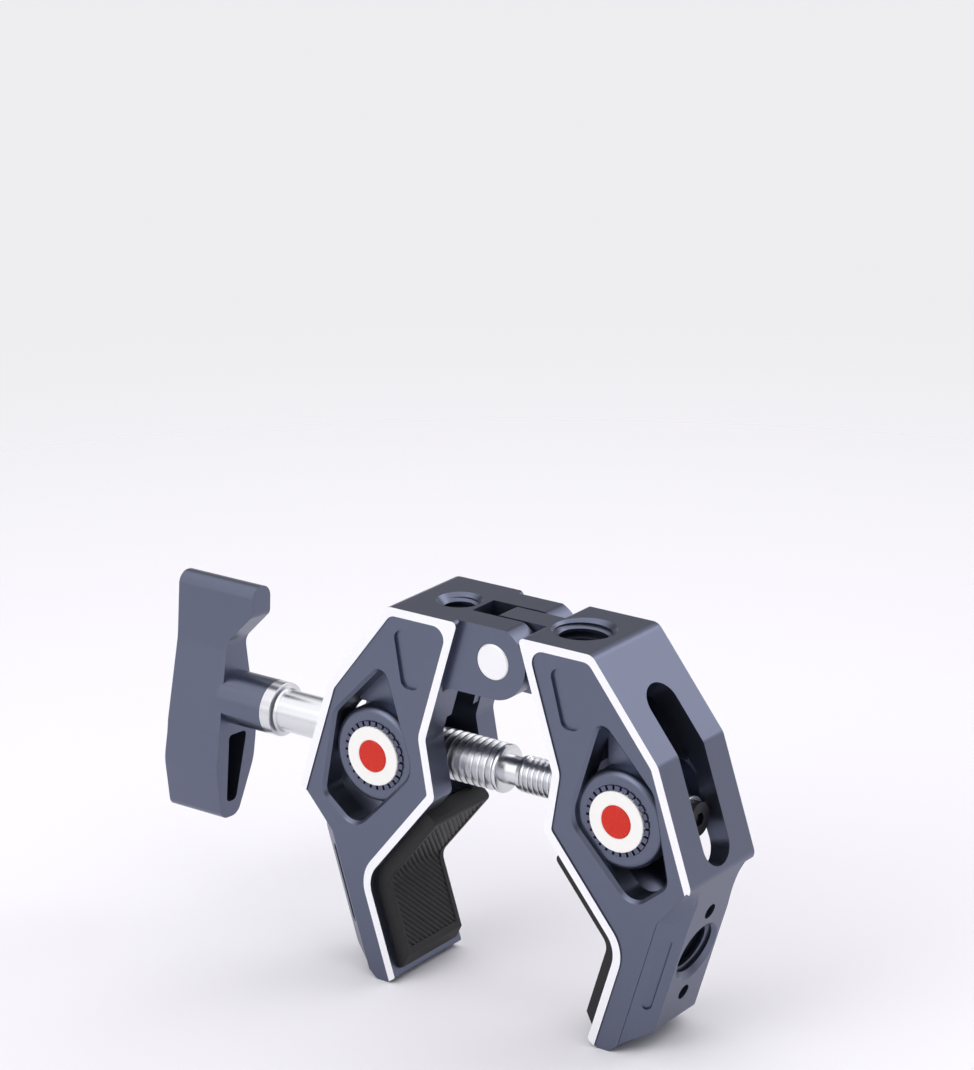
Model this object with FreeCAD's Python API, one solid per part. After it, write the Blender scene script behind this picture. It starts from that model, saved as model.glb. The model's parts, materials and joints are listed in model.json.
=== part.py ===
import FreeCAD, Part
import math
import os

# Crab clamp: two mirrored alloy jaws on one hinge pin, drawn together by a spindle whose two
# threads have opposite hands and run in barrel nuts, one nut in each jaw.
# Millimetres. X runs along the spindle, handle on the -X side. Y is the hinge's direction, the
# photographed face looks to -Y. Z is up. The origin is the middle of the grip, level with the
# kinks of the legs, so a tube held in the clamp has its axis near it, along Y.

# Jaw outline, seen from the front: X counts from the mirror plane between the jaws
BODY_WIDTH = 18.3          # thickness of the jaws along Y
TOP_Z = 47.4
TOP_INNER_X = 5.75
TOP_OUTER_X = 19.5
SHOULDER_X = 31.6          # corner between the slanted and the lower outer face
SHOULDER_Z = 32.0
HEEL_X = 37.7              # widest corner, where the outer face turns into the leg
HEEL_Z = 13.4
LEG_LEAN = 17.4            # degrees, how far the leg's outer face leans from upright
LEG_LENGTH = 28.5          # outer face, from the heel to its lower end
LEG_END_X = HEEL_X - LEG_LENGTH * math.sin(math.radians(LEG_LEAN))
LEG_END_Z = HEEL_Z - LEG_LENGTH * math.cos(math.radians(LEG_LEAN))
TOE_STEP_X = LEG_END_X - 4.28        # hollow beside the tip
TOE_STEP_Z = LEG_END_Z - 2.1
TIP_Z = LEG_END_Z - 3.9
TIP_OUTER_X = LEG_END_X - 6.48
TIP_FLAT_X = LEG_END_X - 8.58
TIP_INNER_X = LEG_END_X - 10.24
TIP_INNER_Z = LEG_END_Z - 2.7
KINK_X = 24.2              # deepest point of the grip
CORNER_X = 10.5            # lower corner of the jaw's inner face
CORNER_Z = 16.75
NOTCH_X = 12.2             # hollow in the jaw's inner face
NOTCH_Z = 26.55
TOP_INNER_ROUND = 0.8
TOP_OUTER_ROUND = 2.0
SHOULDER_ROUND = 2.5
HEEL_ROUND = 1.5
TOE_ROUND = 1.6
TIP_ROUND = 0.8
KINK_ROUND = 5.0
CORNER_ROUND = 1.6
NOTCH_ROUND = 2.5

# Machined rim of the jaw's faces
RIM_WIDTH = 1.4
FACE_RECESS = 0.25         # the coloured field lies this much below the bare rim
FIELD_ROUND = 2.1
FIELD_SHOULDER_ROUND = 2.2
FIELD_RUNOUT = 4.0         # past the edges that carry no rim

# Shallow pocket in the upper part of each face
POCKET_DROP = 3.6          # from the flat top
POCKET_TOP_Z = TOP_Z - POCKET_DROP
POCKET_BOTTOM_Z = 34.25
POCKET_TOP_INNER_X = 11.35
POCKET_TOP_OUTER_X = 18.5
POCKET_BOTTOM_INNER_X = 13.85
POCKET_BOTTOM_OUTER_X = 16.9
POCKET_DEPTH = 0.5
POCKET_ROUND = 1.4

# Leg flank: the big bevels beside the leg's outer face, their grooves and the side holes
FLANK_DEPTH = 3.5          # measured along Y
FLANK_REACH = 3.85         # measured in from the leg's outer face
FLANK_STEP = 0.55          # upright wall along the bevel's inner boundary
FLANK_START = 8.6          # along the leg, where the bevel has its full size
FLANK_END = 0.9            # along the leg, its blunt upper end
FLANK_END_DEPTH = 2.3
FLANK_END_REACH = 0.5
FLANK_END_STEP = 0.1
GROOVE_HALF_WIDTH = 0.75
GROOVE_DEPTH = 0.35
GROOVE_FROM = 12.0
GROOVE_TO = 24.0
SIDE_HOLE_AT = 15.4        # along the leg's outer face, from the heel
SIDE_HOLE_DEPTH = 6.5
LOCATING_PITCH = 7.8       # from the side hole to each of its two locating holes
LOCATING_RADIUS = 1.3
LOCATING_DEPTH = 3.0

# Threaded holes, modelled at the tapping size
LARGE_THREAD_RADIUS = 4.0
SMALL_THREAD_RADIUS = 2.6
THREAD_CHAMFER = 1.2
TOP_HOLE_X = 11.9
TOP_HOLE_DEPTH = 9.8

# Cavity between a jaw's two side plates, and the slots in its outer faces
CAVITY_WIDTH = 8.8
OUTER_WALL = 4.0
INNER_WALL = 2.4           # in the right jaw, above the spindle's opening
INNER_WALL_Z = 26.0
CAVITY_FLOOR_Z = 12.6      # where the cavity opens through the inner face
CAVITY_FLOOR_X = 16.0
CAVITY_KEEL_X = 26.4
CAVITY_KEEL_Z = 6.2
CAVITY_HEEL_X = 34.2
CAVITY_HEEL_Z = 12.8
CAVITY_STEP_X = 16.2       # the ceiling rises beyond the threaded hole
CAVITY_STEP = 1.9
LEFT_SLOT_WIDTH = 8.2
LEFT_SLOT_MARGINS = (3.6, 2.0)       # along the lower outer face, from the shoulder and the heel
RIGHT_SLOT_WIDTH = 7.1
SLOT_TOP_MARGIN = 7.9      # along the slanted face, from the top outer corner
SLOT_END_MARGIN = 1.0      # along the lower outer face, from the heel
SLOT_DEPTH = 6.5

# Window in each side plate, with the round boss that carries the barrel nut
WINDOW_TOP = (20.8, 37.0, 1.3)       # x, z and corner radius
WINDOW_INNER = (15.3, 19.8, 4.4)
WINDOW_BOTTOM = (26.9, 8.0, 3.0)
WINDOW_HEEL = (33.0, 12.9, 2.0)
WINDOW_OUTER = (30.3, 27.2, 3.0)
WINDOW_BEVEL = 0.55
BOSS_RADIUS = 8.1
BOSS_RECESS = 1.4
BOSS_EDGE_ROUND = 1.2
BOSS_EDGE_STEPS = 3        # short cones that make the rounded edge

# Hinge
HINGE_DROP = 5.65          # from the flat top to the pin's axis
HINGE_Z = TOP_Z - HINGE_DROP
KNUCKLE_RADIUS = 6.15
EAR_RECESS = 1.4           # the ears' faces lie this much inside the jaws' faces
EAR_GAP = 5.8              # between the two ears
EAR_FILLET = 2.5
EAR_ROOT_X = 11.7
EAR_ROOT_Z = 29.0
CLEVIS_END_X = 7.4         # blind end of the slot between the ears
TONGUE_WIDTH = 4.8
RELIEF_CLEARANCE = 0.35    # round the ears, in the right jaw
PIN_RADIUS = 3.0
PRESS_CLEARANCE = 0.01
RUNNING_CLEARANCE = 0.05
PIN_PROUD = 0.15
PIN_EDGE = 0.25
WASHER_RADIUS = 5.2
WASHER_PLAY = 0.04         # axial play of each hinge washer

# Barrel nuts with their end rings and caps
NUT_X = 23.45
SPINDLE_Z = 20.9
NUT_RADIUS = 5.8
NUT_RECESS = 1.15          # nut's end below the jaw's face
RING_RADIUS = 4.95
RING_INNER_RADIUS = 2.7
RING_SEAT = 1.0
RING_PROUD = 0.3
CAP_PROUD = 0.1
NOTCH_COUNT = 26
NOTCH_WIDTH = 0.42
NOTCH_DEPTH = 0.7

# Spindle: stations along X at rest
COLLAR_LEFT_X = -50.0
COLLAR_LENGTH = 2.15
COLLAR_RADIUS = 4.55
COLLAR_FILLET = 0.7        # cone between the collar and the shaft
SHAFT_RADIUS = 3.5
LARGE_END_X = -33.0        # left end of the large screw
LARGE_SCREW_RADIUS = 4.0
NECK_LEFT_X = -2.45
NECK_RADIUS = 2.45
NECK_LENGTH = 2.8
SMALL_SCREW_RADIUS = 3.0
SCREW_CHAMFER = 0.5
TANG_RADIUS = 2.5          # end of the spindle inside the handle
TANG_LENGTH = 15.0
TANG_END_X = COLLAR_LEFT_X + COLLAR_LENGTH - TANG_LENGTH
STOP_GAP = 1.6             # stop washer from the right nut, at rest
STOP_THICKNESS = 1.0
STOP_RADIUS = 3.35
STOP_PLAY = 0.1
SPIGOT_RADIUS = 2.0
END_SCREW_RADIUS = 2.75
END_SCREW_HEAD = 1.5
END_SCREW_SHANK = 1.2
END_SCREW_LENGTH = 7.0
SOCKET_FLATS = 2.0
SOCKET_DEPTH = 0.9

# Rubber pads
PAD_WIDTH = 14.8
PAD_PROUD = 2.5
PAD_SEAT = 0.8
PAD_TOP_Z = 13.3
PAD_BOTTOM_Z = TIP_INNER_Z + 1.1
PAD_EDGE = 0.9
PAD_CHAMFER = 1.8          # at the lower end of the gripping face
PAD_BORDER = 1.1           # raised round the ribbed field
PAD_FIELD_DEPTH = 0.35

# Handle; heights are counted from the spindle's axis
HANDLE_END_WALL = 6.55     # left of the tang, round the screw's head
HANDLE_THICKNESS = 11.3
HANDLE_THROAT_CUT = 0.7
HANDLE_BEAK_REACH = 4.5    # the upper end reaches out towards the jaws
HANDLE_LEFT_X = TANG_END_X - HANDLE_END_WALL
HANDLE_RIGHT_X = HANDLE_LEFT_X + HANDLE_THICKNESS
HANDLE_THROAT_X = HANDLE_RIGHT_X - HANDLE_THROAT_CUT
HANDLE_BEAK_X = HANDLE_RIGHT_X + HANDLE_BEAK_REACH
HANDLE_TOP = 20.1
HANDLE_BEAK_DROP = 15.2
HANDLE_THROAT = 9.8
HANDLE_BEND = -7.0         # below this height the lever leans away from the jaws
HANDLE_LEAN = 1.4
HANDLE_BOTTOM = -21.5
HANDLE_TURN = -4.0         # degrees about the spindle, at rest
HANDLE_BEAK_ROUND = 1.5
HANDLE_THROAT_ROUND = 3.0
HANDLE_BEND_ROUND = 20.0
LEVER_TOP = (2.3, HANDLE_TOP, 2.1)   # half thickness, height and corner radius
LEVER_WAIST = (2.5, 9.0, 14.0)
LEVER_BELLY = (4.8, -5.5, 12.0)
LEVER_THIGH = (4.9, -12.0, 9.0)
LEVER_FOOT = (2.1, HANDLE_BOTTOM, 2.0)
HUB_RADIUS = 4.55
LEVER_POCKET_TOP = (2.3, -6.3, 0.8)
LEVER_POCKET_BOTTOM = (1.2, -18.6, 1.0)
HANDLE_POCKET_DEPTH = 6.0
HANDLE_SCREW_RADIUS = 3.6
HANDLE_SCREW_SHANK = 1.5
HANDLE_SCREW_LENGTH = 10.0
HANDLE_SOCKET_FLATS = 2.5
HANDLE_SOCKET_DEPTH = 1.8

FACE_Y = BODY_WIDTH / 2
EAR_FACE_Y = FACE_Y - EAR_RECESS
CUT = 60.0                 # longer than anything that is cut
SPILL = 1.0                # how far a cutter runs past the surface that it opens
TOUCH = 1e-6
SEAM_TURN = 50.0           # degrees, keeps a cylinder's seam clear of what is cut into it
SLANT = math.radians(LEG_LEAN)
UP = FreeCAD.Vector(0, 0, 1)
ACROSS = FreeCAD.Vector(0, 1, 0)
ALONG = FreeCAD.Vector(1, 0, 0)


def point(x, z, y=0.0):
    return FreeCAD.Vector(x, y, z)


def rounded_wire(corners, y=0.0):
    """Closed outline in the XZ plane from (x, z, radius) corners, each rounded by an arc."""
    edges = []
    starts = []
    ends = []
    count = len(corners)
    for index, (x, z, radius) in enumerate(corners):
        here = point(x, z, y)
        before = point(corners[index - 1][0], corners[index - 1][1], y) - here
        after = point(corners[(index + 1) % count][0], corners[(index + 1) % count][1], y) - here
        before.normalize()
        after.normalize()
        half = before.getAngle(after) / 2
        reach = radius / math.tan(half)
        start = here + before * reach
        end = here + after * reach
        starts.append(start)
        ends.append(end)
        if radius > 0:
            bisector = before + after
            bisector.normalize()
            middle = here + bisector * (radius / math.sin(half) - radius)
            edges.append((start, middle, end))
        else:
            edges.append(None)
    pieces = []
    for index in range(count):
        if edges[index]:
            start, middle, end = edges[index]
            pieces.append(Part.Arc(start, middle, end).toShape())
        following = starts[(index + 1) % count]
        if ends[index].distanceToPoint(following) > 1e-6:
            pieces.append(Part.LineSegment(ends[index], following).toShape())
    return Part.Wire(pieces)


def slab(corners, y_low, y_high):
    """Plate with a rounded outline, between two Y levels."""
    face = Part.Face(rounded_wire(corners, y_low))
    return face.extrude(ACROSS * (y_high - y_low))


def both_faces(corners, y_inner, y_outer):
    return slab(corners, y_inner, y_outer).fuse(slab(corners, -y_outer, -y_inner))


def disc_y(x, z, radius, y_low, y_high):
    return Part.makeCylinder(radius, y_high - y_low, point(x, z, y_low), ACROSS)


def disc_x(radius, x_low, x_high):
    return Part.makeCylinder(radius, x_high - x_low, point(x_low, SPINDLE_Z), ALONG)


def mirrored(shape):
    """The same shape on the other side of the plane between the jaws."""
    return shape.mirror(point(0, 0), ALONG)


def corner_of(first, second):
    """Meeting point of two lines, each a point and a direction in the XZ plane."""
    (x1, z1), (dx1, dz1) = first
    (x2, z2), (dx2, dz2) = second
    det = dx1 * dz2 - dz1 * dx2
    step = ((x2 - x1) * dz2 - (z2 - z1) * dx2) / det
    return x1 + dx1 * step, z1 + dz1 * step


def offset_line(start, end, distance):
    """Line through two points, moved sideways to the left of its direction."""
    dx = end[0] - start[0]
    dz = end[1] - start[1]
    length = math.hypot(dx, dz)
    return (start[0] - dz / length * distance, start[1] + dx / length * distance), (dx, dz)


def inset(corners, distances):
    """Corners of an outline whose edges are each moved inwards by their own distance."""
    lines = []
    count = len(corners)
    for index, distance in enumerate(distances):
        lines.append(offset_line(corners[index], corners[(index + 1) % count], -distance))
    return [corner_of(lines[index - 1], lines[index]) for index in range(count)]


def leg_point(along, depth=0.0, y=0.0):
    """Point on the leg's outer face, counted down from the heel and in from the face."""
    x = HEEL_X - along * math.sin(SLANT) - depth * math.cos(SLANT)
    z = HEEL_Z - along * math.cos(SLANT) + depth * math.sin(SLANT)
    return point(x, z, y)


LEG_INWARD = FreeCAD.Vector(-math.cos(SLANT), 0, math.sin(SLANT))


def jaw_corners():
    leg_end = leg_point(LEG_LENGTH)
    return [
        (TOP_INNER_X, TOP_Z, TOP_INNER_ROUND),
        (TOP_OUTER_X, TOP_Z, TOP_OUTER_ROUND),
        (SHOULDER_X, SHOULDER_Z, SHOULDER_ROUND),
        (HEEL_X, HEEL_Z, HEEL_ROUND),
        (leg_end.x, leg_end.z, TOE_ROUND),
        (TOE_STEP_X, TOE_STEP_Z, TOE_ROUND),
        (TIP_OUTER_X, TIP_Z, TIP_ROUND),
        (TIP_FLAT_X, TIP_Z, 0),
        (TIP_INNER_X, TIP_INNER_Z, TIP_ROUND / 2),
        (KINK_X, 0, KINK_ROUND),
        (CORNER_X, CORNER_Z, CORNER_ROUND),
        (NOTCH_X, NOTCH_Z, NOTCH_ROUND),
    ]


def slot_on_face(start, end, half_width, inward, depth, side=ACROSS, lift=1.0):
    """Cutter for a round-ended slot along a flat face."""
    run = end - start
    run.normalize()
    start = start - inward * lift
    end = end - inward * lift
    rim = [
        Part.LineSegment(start + side * half_width, end + side * half_width).toShape(),
        Part.Arc(end + side * half_width, end + run * half_width, end - side * half_width).toShape(),
        Part.LineSegment(end - side * half_width, start - side * half_width).toShape(),
        Part.Arc(start - side * half_width, start - run * half_width,
                 start + side * half_width).toShape(),
    ]
    return Part.Face(Part.Wire(rim)).extrude(inward * (depth + lift))


def threaded_hole(mouth, inward, radius, depth):
    hole = Part.makeCylinder(radius, depth, mouth, inward)
    lift = 0.5
    cone = Part.makeCone(radius + THREAD_CHAMFER + lift, radius, THREAD_CHAMFER + lift,
                         mouth - inward * lift, inward)
    return hole.fuse(cone)


def flank_cutter(side):
    """Bevel beside the leg's outer face, on one of its two sides, with a blunt upper end."""
    far = LEG_LENGTH + CUT

    def section(along, depth, reach, step):
        # The section runs a little past the metal, on the bevel's own plane
        slope = (depth - step) / reach
        y_past = side * (FACE_Y + SPILL)
        return [
            leg_point(along, reach, y_past),
            leg_point(along, reach, side * (FACE_Y - step)),
            leg_point(along, -SPILL, side * (FACE_Y - depth - SPILL * slope)),
            leg_point(along, -SPILL, y_past),
        ]

    def outline(corners):
        return Part.makePolygon(corners + corners[:1])

    full = section(FLANK_START, FLANK_DEPTH, FLANK_REACH, FLANK_STEP)
    end = section(FLANK_END, FLANK_END_DEPTH, FLANK_END_REACH, FLANK_END_STEP)
    straight = Part.Face(outline(full)).extrude(leg_point(far) - leg_point(FLANK_START))
    tapered = Part.makeLoft([outline(end), outline(full)], True, True)
    return straight.fuse(tapered)


def flank_groove(side):
    """Long shallow groove on the bevel."""
    half = 0.5
    y_middle = side * (FACE_Y - (FLANK_STEP + FLANK_DEPTH) * half)
    start = leg_point(GROOVE_FROM, FLANK_REACH * half, y_middle)
    end = leg_point(GROOVE_TO, FLANK_REACH * half, y_middle)
    run = end - start
    run.normalize()
    across = leg_point(0, FLANK_REACH, side * (FACE_Y - FLANK_STEP))
    across = across - leg_point(0, 0, side * (FACE_Y - FLANK_DEPTH))
    across.normalize()
    inward = run.cross(across)
    if inward.dot(LEG_INWARD) < 0:
        inward = inward * -1
    return slot_on_face(start, end, GROOVE_HALF_WIDTH, inward, GROOVE_DEPTH, across)


def jaw_body(cavity, slots):
    """One jaw without its hinge and its top hole, on the +X side."""
    corners = jaw_corners()
    body = slab(corners, -FACE_Y, FACE_Y)
    for side in (-1, 1):
        body = body.cut(flank_cutter(side))
        body = body.cut(flank_groove(side))
    body = body.cut(both_faces(field_corners(corners), FACE_Y - FACE_RECESS, FACE_Y + SPILL))
    floor = FACE_Y - FACE_RECESS
    body = body.cut(both_faces(pocket_corners(), floor - POCKET_DEPTH, FACE_Y + SPILL))
    body = body.cut(slab(cavity, -CAVITY_WIDTH / 2, CAVITY_WIDTH / 2))
    body = body.cut(slab(window_corners(), -CUT, CUT))
    bevel = window_bevel()
    body = body.cut(bevel).cut(bevel.mirror(point(0, 0), ACROSS))
    for cutter in slots:
        body = body.cut(cutter)
    body = body.fuse(nut_bosses())
    body = body.cut(disc_y(NUT_X, SPINDLE_Z, NUT_RADIUS + RUNNING_CLEARANCE, -CUT, CUT))
    body = body.cut(threaded_hole(leg_point(SIDE_HOLE_AT), LEG_INWARD, LARGE_THREAD_RADIUS,
                                  SIDE_HOLE_DEPTH))
    for offset in (-LOCATING_PITCH, LOCATING_PITCH):
        mouth = leg_point(SIDE_HOLE_AT + offset)
        body = body.cut(Part.makeCylinder(LOCATING_RADIUS, LOCATING_DEPTH, mouth, LEG_INWARD))
    return body.cut(pad_solid(RUNNING_CLEARANCE))


def field_corners(corners):
    """Coloured field inside the bare rim; it runs out over the leg's bevel, where no rim is."""
    distances = [RIM_WIDTH] * 3 + [-FIELD_RUNOUT] * 5 + [RIM_WIDTH] * 4
    rounds = [FIELD_ROUND, TOP_OUTER_ROUND, FIELD_SHOULDER_ROUND, 0, 0, 0, 0, 0, 0,
              KINK_ROUND + RIM_WIDTH, CORNER_ROUND / 2, NOTCH_ROUND + RIM_WIDTH]
    plain = inset([(x, z) for x, z, _ in corners], distances)
    return [(x, z, radius) for (x, z), radius in zip(plain, rounds)]


def pocket_corners():
    return [
        (POCKET_TOP_INNER_X, POCKET_TOP_Z, POCKET_ROUND),
        (POCKET_TOP_OUTER_X, POCKET_TOP_Z, POCKET_ROUND),
        (POCKET_BOTTOM_OUTER_X, POCKET_BOTTOM_Z, POCKET_ROUND),
        (POCKET_BOTTOM_INNER_X, POCKET_BOTTOM_Z, POCKET_ROUND),
    ]


def cavity_corners():
    """Space between the side plates: a wall stays behind the two outer faces."""
    ceiling = HINGE_Z - KNUCKLE_RADIUS
    slanted = offset_line((TOP_OUTER_X, TOP_Z), (SHOULDER_X, SHOULDER_Z), -OUTER_WALL)
    lower = offset_line((SHOULDER_X, SHOULDER_Z), (HEEL_X, HEEL_Z), -OUTER_WALL)
    roof = ((0, ceiling + CAVITY_STEP), (1, 0))
    crown = corner_of(roof, slanted)
    elbow = corner_of(slanted, lower)
    return [
        (0, ceiling, 0),
        (CAVITY_STEP_X - CAVITY_STEP, ceiling, 0),
        (CAVITY_STEP_X, ceiling + CAVITY_STEP, 0),
        (crown[0], crown[1], 0),
        (elbow[0], elbow[1], 0),
        (CAVITY_HEEL_X, CAVITY_HEEL_Z, 0),
        (CAVITY_KEEL_X, CAVITY_KEEL_Z, 0),
        (CAVITY_FLOOR_X, CAVITY_FLOOR_Z, 0),
        (0, CAVITY_FLOOR_Z, 0),
    ]


def walled_cavity_corners():
    """The same space with a wall left standing behind the upper part of the inner face."""
    corners = cavity_corners()
    roof_z = HINGE_Z - KNUCKLE_RADIUS
    wall_top = inner_face_x(roof_z) + INNER_WALL
    wall_foot = inner_face_x(INNER_WALL_Z) + INNER_WALL
    return [
        (0, INNER_WALL_Z, 0),
        (wall_foot, INNER_WALL_Z, 0),
        (wall_top, roof_z, 0),
    ] + corners[1:]


def window_corners(growth=0.0):
    corners = [WINDOW_TOP, WINDOW_OUTER, WINDOW_HEEL, WINDOW_BOTTOM, WINDOW_INNER]
    plain = inset([(x, z) for x, z, _ in corners], [-growth] * len(corners))
    return [(x, z, radius + growth) for (x, z), (_, _, radius) in zip(plain, corners)]


def window_bevel():
    surface = FACE_Y - FACE_RECESS
    lift = 0.2
    outer = rounded_wire(window_corners(WINDOW_BEVEL + lift), surface + lift)
    inner = rounded_wire(window_corners(), surface - WINDOW_BEVEL)
    return Part.makeLoft([inner, outer], True, True)


def slot_between(start, end, first_margin, last_margin, width):
    """Slot along one outer face; its ends keep their margins from the face's two corners."""
    half = width / 2
    run = end - start
    length = run.Length
    run.normalize()
    inward = run.cross(ACROSS)
    if inward.x > 0:
        inward = inward * -1
    near = start + run * (first_margin + half)
    far = start + run * (length - last_margin - half)
    return slot_on_face(near, far, half, inward, SLOT_DEPTH)


def left_slots():
    """Opening for the shaft, as long as its swing in the jaw asks."""
    shoulder = point(SHOULDER_X, SHOULDER_Z)
    heel = point(HEEL_X, HEEL_Z)
    return [slot_between(shoulder, heel, *LEFT_SLOT_MARGINS, LEFT_SLOT_WIDTH)]


def right_slots():
    """Slot over the shoulder, in which the spindle's end swings."""
    shoulder = point(SHOULDER_X, SHOULDER_Z)
    top = point(TOP_OUTER_X, TOP_Z)
    heel = point(HEEL_X, HEEL_Z)
    middle = -RIGHT_SLOT_WIDTH / 2
    return [
        slot_between(shoulder, top, middle, SLOT_TOP_MARGIN, RIGHT_SLOT_WIDTH),
        slot_between(shoulder, heel, middle, SLOT_END_MARGIN, RIGHT_SLOT_WIDTH),
    ]


def nut_bosses():
    """Round boss in each window, its outer edge rounded by short cones."""
    low = CAVITY_WIDTH / 2
    high = FACE_Y - BOSS_RECESS
    profile = [(BOSS_RADIUS, low)]
    for index in range(BOSS_EDGE_STEPS + 1):
        angle = math.pi / 2 * index / BOSS_EDGE_STEPS
        profile.append((BOSS_RADIUS - BOSS_EDGE_ROUND * (1 - math.cos(angle)),
                        high - BOSS_EDGE_ROUND * (1 - math.sin(angle))))
    corners = [point(NUT_X, SPINDLE_Z, low)]
    corners += [point(NUT_X + radius, SPINDLE_Z, y) for radius, y in profile]
    corners.append(point(NUT_X, SPINDLE_Z, high))
    section = Part.Face(Part.makePolygon(corners + corners[:1]))
    boss = section.revolve(point(NUT_X, SPINDLE_Z), ACROSS, 360)
    return boss.fuse(boss.mirror(point(0, 0), ACROSS))


def inner_face_x(z):
    share = (TOP_Z - z) / (TOP_Z - NOTCH_Z)
    return TOP_INNER_X + share * (NOTCH_X - TOP_INNER_X)


def hinge_arm(y_low, y_high):
    """Knuckle with a flat top, joined to its jaw by a filleted root, on the +X side."""
    under = HINGE_Z - KNUCKLE_RADIUS
    overlap = 0.2
    root = [
        (0, TOP_Z, 0),
        (EAR_ROOT_X, TOP_Z, 0),
        (EAR_ROOT_X, EAR_ROOT_Z, 0),
        (inner_face_x(EAR_ROOT_Z) + overlap, EAR_ROOT_Z, 0),
        (inner_face_x(under) + overlap, under, EAR_FILLET),
        (0, under, 0),
    ]
    knuckle = disc_y(0, HINGE_Z, KNUCKLE_RADIUS, y_low, y_high)
    above = Part.makeBox(CUT, CUT, CUT, FreeCAD.Vector(-CUT / 2, -CUT / 2, TOP_Z))
    return knuckle.cut(above).fuse(slab(root, y_low, y_high))


def top_hole(radius):
    return threaded_hole(point(TOP_HOLE_X, TOP_Z), UP * -1, radius, TOP_HOLE_DEPTH)


def left_jaw():
    jaw = jaw_body(cavity_corners(), left_slots())
    ears = hinge_arm(EAR_GAP / 2, EAR_FACE_Y).fuse(hinge_arm(-EAR_FACE_Y, -EAR_GAP / 2))
    jaw = jaw.fuse(ears)
    under = HINGE_Z - KNUCKLE_RADIUS
    clevis = Part.makeBox(2 * CLEVIS_END_X, EAR_GAP, CUT,
                          FreeCAD.Vector(-CLEVIS_END_X, -EAR_GAP / 2, under - SPILL))
    jaw = jaw.cut(clevis).cut(top_hole(SMALL_THREAD_RADIUS))
    jaw = jaw.cut(disc_y(0, HINGE_Z, PIN_RADIUS + PRESS_CLEARANCE, -CUT, CUT))
    return mirrored(jaw).removeSplitter()


def right_jaw():
    jaw = jaw_body(walled_cavity_corners(), right_slots())
    relief = KNUCKLE_RADIUS + RELIEF_CLEARANCE
    jaw = jaw.cut(disc_y(0, HINGE_Z, relief, -CUT, CUT))
    jaw = jaw.fuse(hinge_arm(-TONGUE_WIDTH / 2, TONGUE_WIDTH / 2))
    jaw = jaw.cut(top_hole(LARGE_THREAD_RADIUS))
    jaw = jaw.cut(disc_y(0, HINGE_Z, PIN_RADIUS + RUNNING_CLEARANCE, -CUT, CUT))
    return jaw.removeSplitter()


def hinge_pin():
    length = EAR_FACE_Y + PIN_PROUD
    pin = disc_y(0, HINGE_Z, PIN_RADIUS, -length, length)
    rims = [edge for edge in pin.Edges if abs(abs(edge.CenterOfMass.y) - length) < TOUCH]
    return pin.makeChamfer(PIN_EDGE, rims)


def hinge_washer(side):
    low = TONGUE_WIDTH / 2 + WASHER_PLAY
    high = EAR_GAP / 2 - WASHER_PLAY
    washer = disc_y(0, HINGE_Z, WASHER_RADIUS, low, high)
    washer = washer.cut(disc_y(0, HINGE_Z, PIN_RADIUS + RUNNING_CLEARANCE, low, high))
    return washer if side > 0 else washer.mirror(point(0, 0), ACROSS)


def grip_line(z_top, z_bottom):
    """Three points of the leg's inner side: at the upper height, the kink, at the lower height."""
    corner = (CORNER_X, CORNER_Z)
    kink = (KINK_X, 0)
    tip = (TIP_INNER_X, TIP_INNER_Z)

    def along(start, end, z):
        share = (z - start[1]) / (end[1] - start[1])
        return start[0] + share * (end[0] - start[0]), z

    return along(corner, kink, z_top), kink, along(kink, tip, z_bottom)


def pad_field():
    """Cutter for the shallow field in a pad's gripping face."""
    top, kink, bottom = grip_line(PAD_TOP_Z - PAD_BORDER, PAD_BOTTOM_Z + PAD_CHAMFER + PAD_BORDER)
    floor = PAD_PROUD - PAD_FIELD_DEPTH
    past = PAD_PROUD + SPILL
    floor_upper = offset_line(top, kink, -floor)
    floor_lower = offset_line(bottom, kink, floor)
    past_upper = offset_line(top, kink, -past)
    past_lower = offset_line(bottom, kink, past)
    floor_kink = corner_of(floor_upper, floor_lower)
    past_kink = corner_of(past_upper, past_lower)
    outline = [
        (floor_upper[0][0], floor_upper[0][1], 0),
        (floor_kink[0], floor_kink[1], KINK_ROUND - floor),
        (floor_lower[0][0], floor_lower[0][1], 0),
        (past_lower[0][0], past_lower[0][1], 0),
        (past_kink[0], past_kink[1], 0),
        (past_upper[0][0], past_upper[0][1], 0),
    ]
    half = PAD_WIDTH / 2 - PAD_BORDER
    return slab(outline, -half, half)


def pad_solid(growth=0.0):
    """Rubber pad along the inner side of a leg, let into it; growth gives its seat's play."""
    top, kink, bottom = grip_line(PAD_TOP_Z + growth, PAD_BOTTOM_Z - growth)
    front_upper = offset_line(top, kink, -PAD_PROUD)
    front_lower = offset_line(kink, bottom, -PAD_PROUD)
    back_upper = offset_line(top, kink, PAD_SEAT + growth)
    back_lower = offset_line(kink, bottom, PAD_SEAT + growth)
    front_kink = corner_of(front_upper, front_lower)
    back_kink = corner_of(back_upper, back_lower)
    back_bottom = offset_line(bottom, kink, -PAD_SEAT - growth)[0]
    chamfered = offset_line(grip_line(PAD_TOP_Z, PAD_BOTTOM_Z + PAD_CHAMFER)[2], kink, PAD_PROUD)[0]
    foot = offset_line(bottom, kink, PAD_PROUD - PAD_CHAMFER)[0]
    outline = [
        (back_upper[0][0], back_upper[0][1], 0),
        (back_kink[0], back_kink[1], KINK_ROUND + PAD_SEAT),
        (back_bottom[0], back_bottom[1], 0),
        (foot[0], foot[1], 0),
        (chamfered[0], chamfered[1], 0),
        (front_kink[0], front_kink[1], KINK_ROUND - PAD_PROUD),
        (front_upper[0][0], front_upper[0][1], PAD_EDGE),
    ]
    half = PAD_WIDTH / 2 + growth
    return slab(outline, -half, half)


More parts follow.
